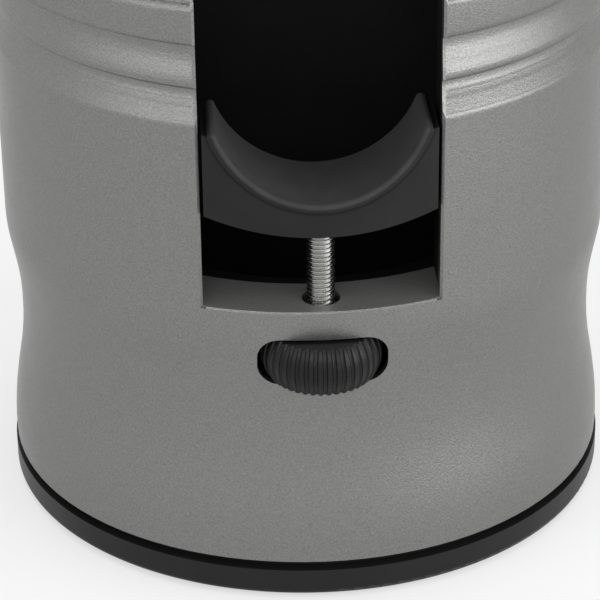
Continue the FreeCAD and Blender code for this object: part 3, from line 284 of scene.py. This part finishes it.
def circuit_board():
    """Glass-fibre board under green lacquer, with the weave just showing."""
    sockets = {"IOR": 1.5, "Coat_Weight": 0.4, "Coat_Roughness": 0.2}
    material, tree, shader, place = new_material("circuit_board", **sockets)
    waves = {"Vector": place, "Scale": 1 / (1.2 * MM), "Distortion": 0.5}
    weave = add(tree, "ShaderNodeTexWave", waves, bands_direction="DIAGONAL").outputs["Fac"]
    coat(tree, shader, weave, ("#0f3a22", "#15482b"), weave, (0.35, 0.45))
    return material


def lit_bar():
    """A lit figure behind smoked acrylic: cool white, bright enough to show through it."""
    material, tree, shader, place = new_material("lit_bar", Emission_Strength=3.0)
    patches = {"Vector": place, "Scale": 1 / (2.0 * MM), "Detail": 2.0, "Roughness": NOISE_ROUGHNESS}
    shimmer = add(tree, "ShaderNodeTexNoise", patches).outputs["Fac"]
    colour = coat(tree, shader, shimmer, ("#cfe3ee", "#e4f2fa"))
    tree.links.new(colour, shader.inputs["Emission Color"])
    return material


SHELL = bead_blasted_aluminium()
BASE_PLASTIC = moulded_plastic("base_moulding", "#141415", "#1a1a1b", 0.42, 0.5 * MM)
# Painted shadow: a dark line on the saddle's face beside the lining, where the lining's bead would shade it
SADDLE_PLASTIC = paint_trough_shade(moulded_plastic("saddle_moulding", "#151515", "#1b1b1b", 0.5, 0.4 * MM),
                              LINING_RADIUS + SADDLE_SHADOW_WIDTH / 2, LINING_RADIUS + SADDLE_SHADOW_WIDTH, 0.85)
# Painted shade: the outer face of the lining's front bead is darkened, and its inner edge is left light
SADDLE_RUBBER = paint_trough_shade(moulded_rubber("saddle_rubber", "#303030", "#393939"),
                             LINING_RADIUS - BEAD_SHADE_FULL, LINING_RADIUS - BEAD_SHADE_START, 0.75)
WELL_PLASTIC = moulded_plastic("well_moulding", "#0d0d0d", "#121212", 0.6, 0.6 * MM)
COVER_PLASTIC = moulded_plastic("cover_moulding", "#1b1c1d", "#222324", 0.4, 0.5 * MM)
PAD_RUBBER = moulded_rubber("pad_rubber", "#262626", "#2e2e2e")
WHEEL_PLASTIC = moulded_plastic("wheel_moulding", "#101010", "#161616", 0.34, 0.4 * MM)
BRIGHT_STEEL = machined_metal("bright_steel", "#aeaeac", "#c4c4c2", 0.24, 0.25 * MM)
POLISHED_STEEL = machined_metal("polished_steel", "#c9c9c8", "#dcdcdb", 0.16, 0.3 * MM)
BLACKENED_STEEL = machined_metal("blackened_steel", "#3a3b3c", "#484949", 0.36, 0.3 * MM)
MILLED_ALUMINIUM = machined_metal("milled_aluminium", "#a7a8aa", "#bcbdbf", 0.34, 0.5 * MM)
GEAR_STEEL = machined_metal("gear_steel", "#8d8e90", "#a3a4a6", 0.32, 0.4 * MM)
BEARING_BRONZE = machined_metal("bearing_bronze", "#a67a3c", "#bd9150", 0.3, 0.3 * MM)
COMPONENT = moulded_plastic("component_moulding", "#191a1b", "#242526", 0.55, 0.4 * MM)
BOARD = circuit_board()
GLOW = lit_bar()

# Cast iron under black stove paint: slightly lumpy and half matt
IRON = surface("painted_iron", ("#1d1d1e", "#29292a"), 1.6 * MM, (0.45, 0.6), 1.6 * MM, (0.12 * MM, 0.5),
               (3.0, 3.0), IOR=1.5)
# Smoked acrylic sheet: dark and glossy, with the faintest smears
LENS = surface("smoked_acrylic", ("#686a6f", "#72747a"), 12.0 * MM, (0.06, 0.12), 12.0 * MM,
               detail=(3.0, 3.0), Specular_IOR_Level=0.2, Transmission_Weight=0.9)
# Screen-printed ink: flat pale grey with a slightly broken surface
INK = surface("printed_mark", ("#b9babb", "#cfd0d1"), 0.3 * MM, (0.5, 0.65), 0.3 * MM, IOR=1.45)

FINISHES = {
    SHELL: ["outer_shell"],
    BASE_PLASTIC: ["base_ring"],
    SADDLE_PLASTIC: ["saddle"],
    WELL_PLASTIC: ["well_liner"],
    COVER_PLASTIC: ["top_cover", "rear_panel", "switch_body", "power_inlet", "power_rocker", "cup_sensor",
                    "minus_button", "plus_button", "clean_button"],
    SADDLE_RUBBER: ["saddle_pad"],
    PAD_RUBBER: ["fork_pads", "rubber_feet", "cover_gasket"],
    WHEEL_PLASTIC: ["thumb_wheel"],
    BRIGHT_STEEL: ["jack_screw", "ram_screw", "tie_rods", "tie_nuts", "base_screws", "bracket_screws",
                   "liner_screws", "motor_screws", "board_screws", "motor_shaft", "inlet_pin"],
    POLISHED_STEEL: ["tamp_head", "guide_spacers", "lower_spacers", "plate_spacers", "cover_posts"],
    BLACKENED_STEEL: ["cover_screws"],
    MILLED_ALUMINIUM: ["bottom_plate", "holder_fork", "top_plate", "motor_plate", "crosshead",
                       "wheel_bracket", "thrust_collar"],
    GEAR_STEEL: ["drive_gear", "motor_pinion", "motor_gearbox", "drive_motor"],
    BEARING_BRONZE: ["wheel_nut", "drive_nut", "drive_bushes", "guide_bushes", "thrust_washers"],
    IRON: ["frame_base"],
    BOARD: ["control_board", "display_board"],
    COMPONENT: ["board_components", "key_switches", "display_panel"],
    LENS: ["display_lens"],
}
for finish, names in FINISHES.items():
    for name in names:
        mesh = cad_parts[name].data
        mesh.materials.clear()
        mesh.materials.append(finish)


def piece(name, mesh_edit, material, body):
    """A finished object from an edit mesh, riding on a body."""
    mesh = bpy.data.meshes.new(name)
    mesh_edit.to_mesh(mesh)
    mesh_edit.free()
    mesh.materials.append(material)
    made = bpy.data.objects.new(name, mesh)
    bpy.context.scene.collection.objects.link(made)
    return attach(made, body)


def helical_thread():
    """The jack screw with its thread as one unbroken helix."""
    low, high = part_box("jack_screw")
    axis_x = (low.x + high.x) / 2
    axis_y = (low.y + high.y) / 2
    turns = round((high.z - low.z) / THREAD_PITCH) - 1
    edit = bmesh.new()
    middle = THREAD_PITCH / 2
    outline = [
        (THREAD_ROOT, 0.0),
        (THREAD_CREST, middle - THREAD_FLAT / 2),
        (THREAD_CREST, middle + THREAD_FLAT / 2),
        (THREAD_ROOT, THREAD_PITCH),
    ]
    points = [edit.verts.new((axis_x + radius, axis_y, low.z + rise)) for radius, rise in outline]
    edges = [edit.edges.new(pair) for pair in zip(points, points[1:])]
    bmesh.ops.spin(edit, geom=points + edges, cent=(axis_x, axis_y, 0), axis=(0, 0, 1),
                   dvec=(0, 0, THREAD_PITCH / THREAD_STEPS), angle=2 * math.pi * turns,
                   steps=THREAD_STEPS * turns, use_merge=False, use_duplicate=False)
    bmesh.ops.remove_doubles(edit, verts=edit.verts, dist=THREAD_WELD)
    ends = [edge for edge in edit.edges if edge.is_boundary]
    bmesh.ops.holes_fill(edit, edges=ends, sides=0)
    bmesh.ops.recalc_face_normals(edit, faces=edit.faces)
    thread = piece("jack_screw_thread", edit, BRIGHT_STEEL, "saddle_carriage")
    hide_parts("jack_screw")


def bar(edit, centre, size, turn=Matrix.Identity(3)):
    """A thin bar with softened edges."""
    place = Matrix.Translation(centre) @ turn.to_4x4() @ Matrix.Diagonal((*size, 1.0))
    made = bmesh.ops.create_cube(edit, size=1.0, matrix=place)["verts"]
    edges = {edge for vert in made for edge in vert.link_edges}
    bmesh.ops.bevel(edit, geom=list(edges), offset=min(size) * BAR_ROUND, segments=2, profile=0.5,
                    affect="EDGES", material=-1)


def button_marks():
    """A minus, a plus and a slanted cross, each on its button's body and made of bars at these angles."""
    marks = {
        "minus_button": ("minus_key", (0,)),
        "plus_button": ("plus_key", (0, 90)),
        "clean_button": ("clean_key", (45, -45)),
    }
    for name, (body, angles) in marks.items():
        low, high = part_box(name)
        centre = Vector(((low.x + high.x) / 2, (low.y + high.y) / 2, high.z))
        edit = bmesh.new()
        for angle in angles:
            turn = Matrix.Rotation(math.radians(angle), 3, "Z")
            bar(edit, centre, (MARK_LENGTH, MARK_WIDTH, MARK_THICKNESS), turn)
        piece(name + "_mark", edit, INK, body)


def display_figures():
    """Two seven-bar figures, a two and a nought, standing on the display panel behind the window."""
    low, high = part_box("display_panel")
    along = (low.y + high.y) / 2
    level_size = (FIGURE_WIDTH - FIGURE_BAR, FIGURE_BAR, FIGURE_THICKNESS)
    upright_size = (FIGURE_BAR, FIGURE_HEIGHT / 2 - FIGURE_BAR, FIGURE_THICKNESS)
    bars = {
        "top": (0, 1, level_size),
        "middle": (0, 0, level_size),
        "bottom": (0, -1, level_size),
        "upper_left": (-1, 0.5, upright_size),
        "lower_left": (-1, -0.5, upright_size),
        "upper_right": (1, 0.5, upright_size),
        "lower_right": (1, -0.5, upright_size),
    }
    shown = [("top", "middle", "bottom", "upper_right", "lower_left"),
             ("top", "bottom", "upper_left", "lower_left", "upper_right", "lower_right")]
    edit = bmesh.new()
    for place, lit in enumerate(shown):
        across = (low.x + high.x) / 2 + (place - 0.5) * FIGURE_STEP
        for name in lit:
            right, up, size = bars[name]
            shift = (right * FIGURE_WIDTH / 2, up * FIGURE_HEIGHT / 2)
            bar(edit, Vector((across + shift[0], along + shift[1], high.z)), size)
    piece("display_figures", edit, GLOW, "housing")


helical_thread()
button_marks()
display_figures()


def background_rays(tree):
    """One where a ray comes from the camera or from a mirror-like or clear surface."""
    path = add(tree, "ShaderNodeLightPath").outputs
    direct = {0: path["Is Camera Ray"], 1: path["Is Glossy Ray"]}
    either = add(tree, "ShaderNodeMath", direct, operation="MAXIMUM").outputs[0]
    clear = {0: either, 1: path["Is Transmission Ray"]}
    return add(tree, "ShaderNodeMath", clear, operation="MAXIMUM").outputs[0]


def white_floor():
    """Matt white board, which keeps a faint shadow of what stands on it and fades into the air far away."""
    material = bpy.data.materials.new("white_floor")
    material.use_nodes = True
    tree = material.node_tree
    tree.nodes.remove(tree.nodes["Principled BSDF"])
    matt = add(tree, "ShaderNodeBsdfDiffuse", {"Color": linear("#f4f4f4")})
    white = add(tree, "ShaderNodeEmission", {"Color": linear("#ffffff"), "Strength": 1.0})
    place = add(tree, "ShaderNodeTexCoord").outputs["Object"]
    distance = add(tree, "ShaderNodeVectorMath", {0: place}, operation="LENGTH").outputs["Value"]
    span = {"Value": distance, "From Min": FLOOR_FADE_START, "From Max": FLOOR_FADE_END, "To Min": FLOOR_GLOW}
    glow = add(tree, "ShaderNodeMapRange", span).outputs["Result"]
    share = add(tree, "ShaderNodeMath", {0: background_rays(tree), 1: glow}, operation="MULTIPLY")
    mixed = add(tree, "ShaderNodeMixShader", {0: share.outputs[0], 1: matt.outputs[0], 2: white.outputs[0]})
    tree.links.new(mixed.outputs[0], tree.nodes["Material Output"].inputs["Surface"])
    return material


def studio():
    """A white floor in white air, which both show in the metal."""
    scene = bpy.context.scene
    scene.view_settings.view_transform = "Standard"
    world = bpy.data.worlds.new("studio_air")
    scene.world = world
    world.use_nodes = True
    tree = world.node_tree
    seen = background_rays(tree)
    air = add(tree, "ShaderNodeBackground", {"Color": linear("#ffffff"), "Strength": AIR_LIGHT})
    white = add(tree, "ShaderNodeBackground", {"Color": linear("#ffffff"), "Strength": 1.0})
    mixed = add(tree, "ShaderNodeMixShader", {0: seen, 1: air.outputs[0], 2: white.outputs[0]})
    tree.links.new(mixed.outputs[0], tree.nodes["World Output"].inputs["Surface"])
    edit = bmesh.new()
    bmesh.ops.create_grid(edit, x_segments=1, y_segments=1, size=FLOOR_HALF_WIDTH)
    mesh = bpy.data.meshes.new("floor")
    edit.to_mesh(mesh)
    edit.free()
    floor = bpy.data.objects.new("floor", mesh)
    scene.collection.objects.link(floor)
    mesh.materials.append(white_floor())


def lamp(name, place, target, size, watts):
    """A soft box of the given width and height, aimed at a point."""
    data = bpy.data.lights.new(name, "AREA")
    data.shape = "RECTANGLE"
    data.size, data.size_y = size
    data.energy = watts
    made = bpy.data.objects.new(name, data)
    made.location = place
    aim = Vector(target) - Vector(place)
    made.rotation_euler = aim.to_track_quat("-Z", "Y").to_euler()
    bpy.context.scene.collection.objects.link(made)


def photograph_camera():
    """The camera at the place and with the lens that were fitted to the photograph."""
    data = bpy.data.cameras.new("camera")
    data.sensor_width = CAMERA_FILM
    data.lens = CAMERA_LENS
    data.clip_start = CAMERA_CLIP
    made = bpy.data.objects.new("camera", data)
    turn = Euler([math.radians(angle) for angle in (CAMERA_TILT, CAMERA_ROLL, CAMERA_HEADING)])
    made.matrix_world = Matrix.Translation(CAMERA_PLACE) @ turn.to_matrix().to_4x4()
    bpy.context.scene.collection.objects.link(made)
    bpy.context.scene.camera = made


studio()
for name, settings in LAMPS.items():
    lamp(name, *settings)
photograph_camera()
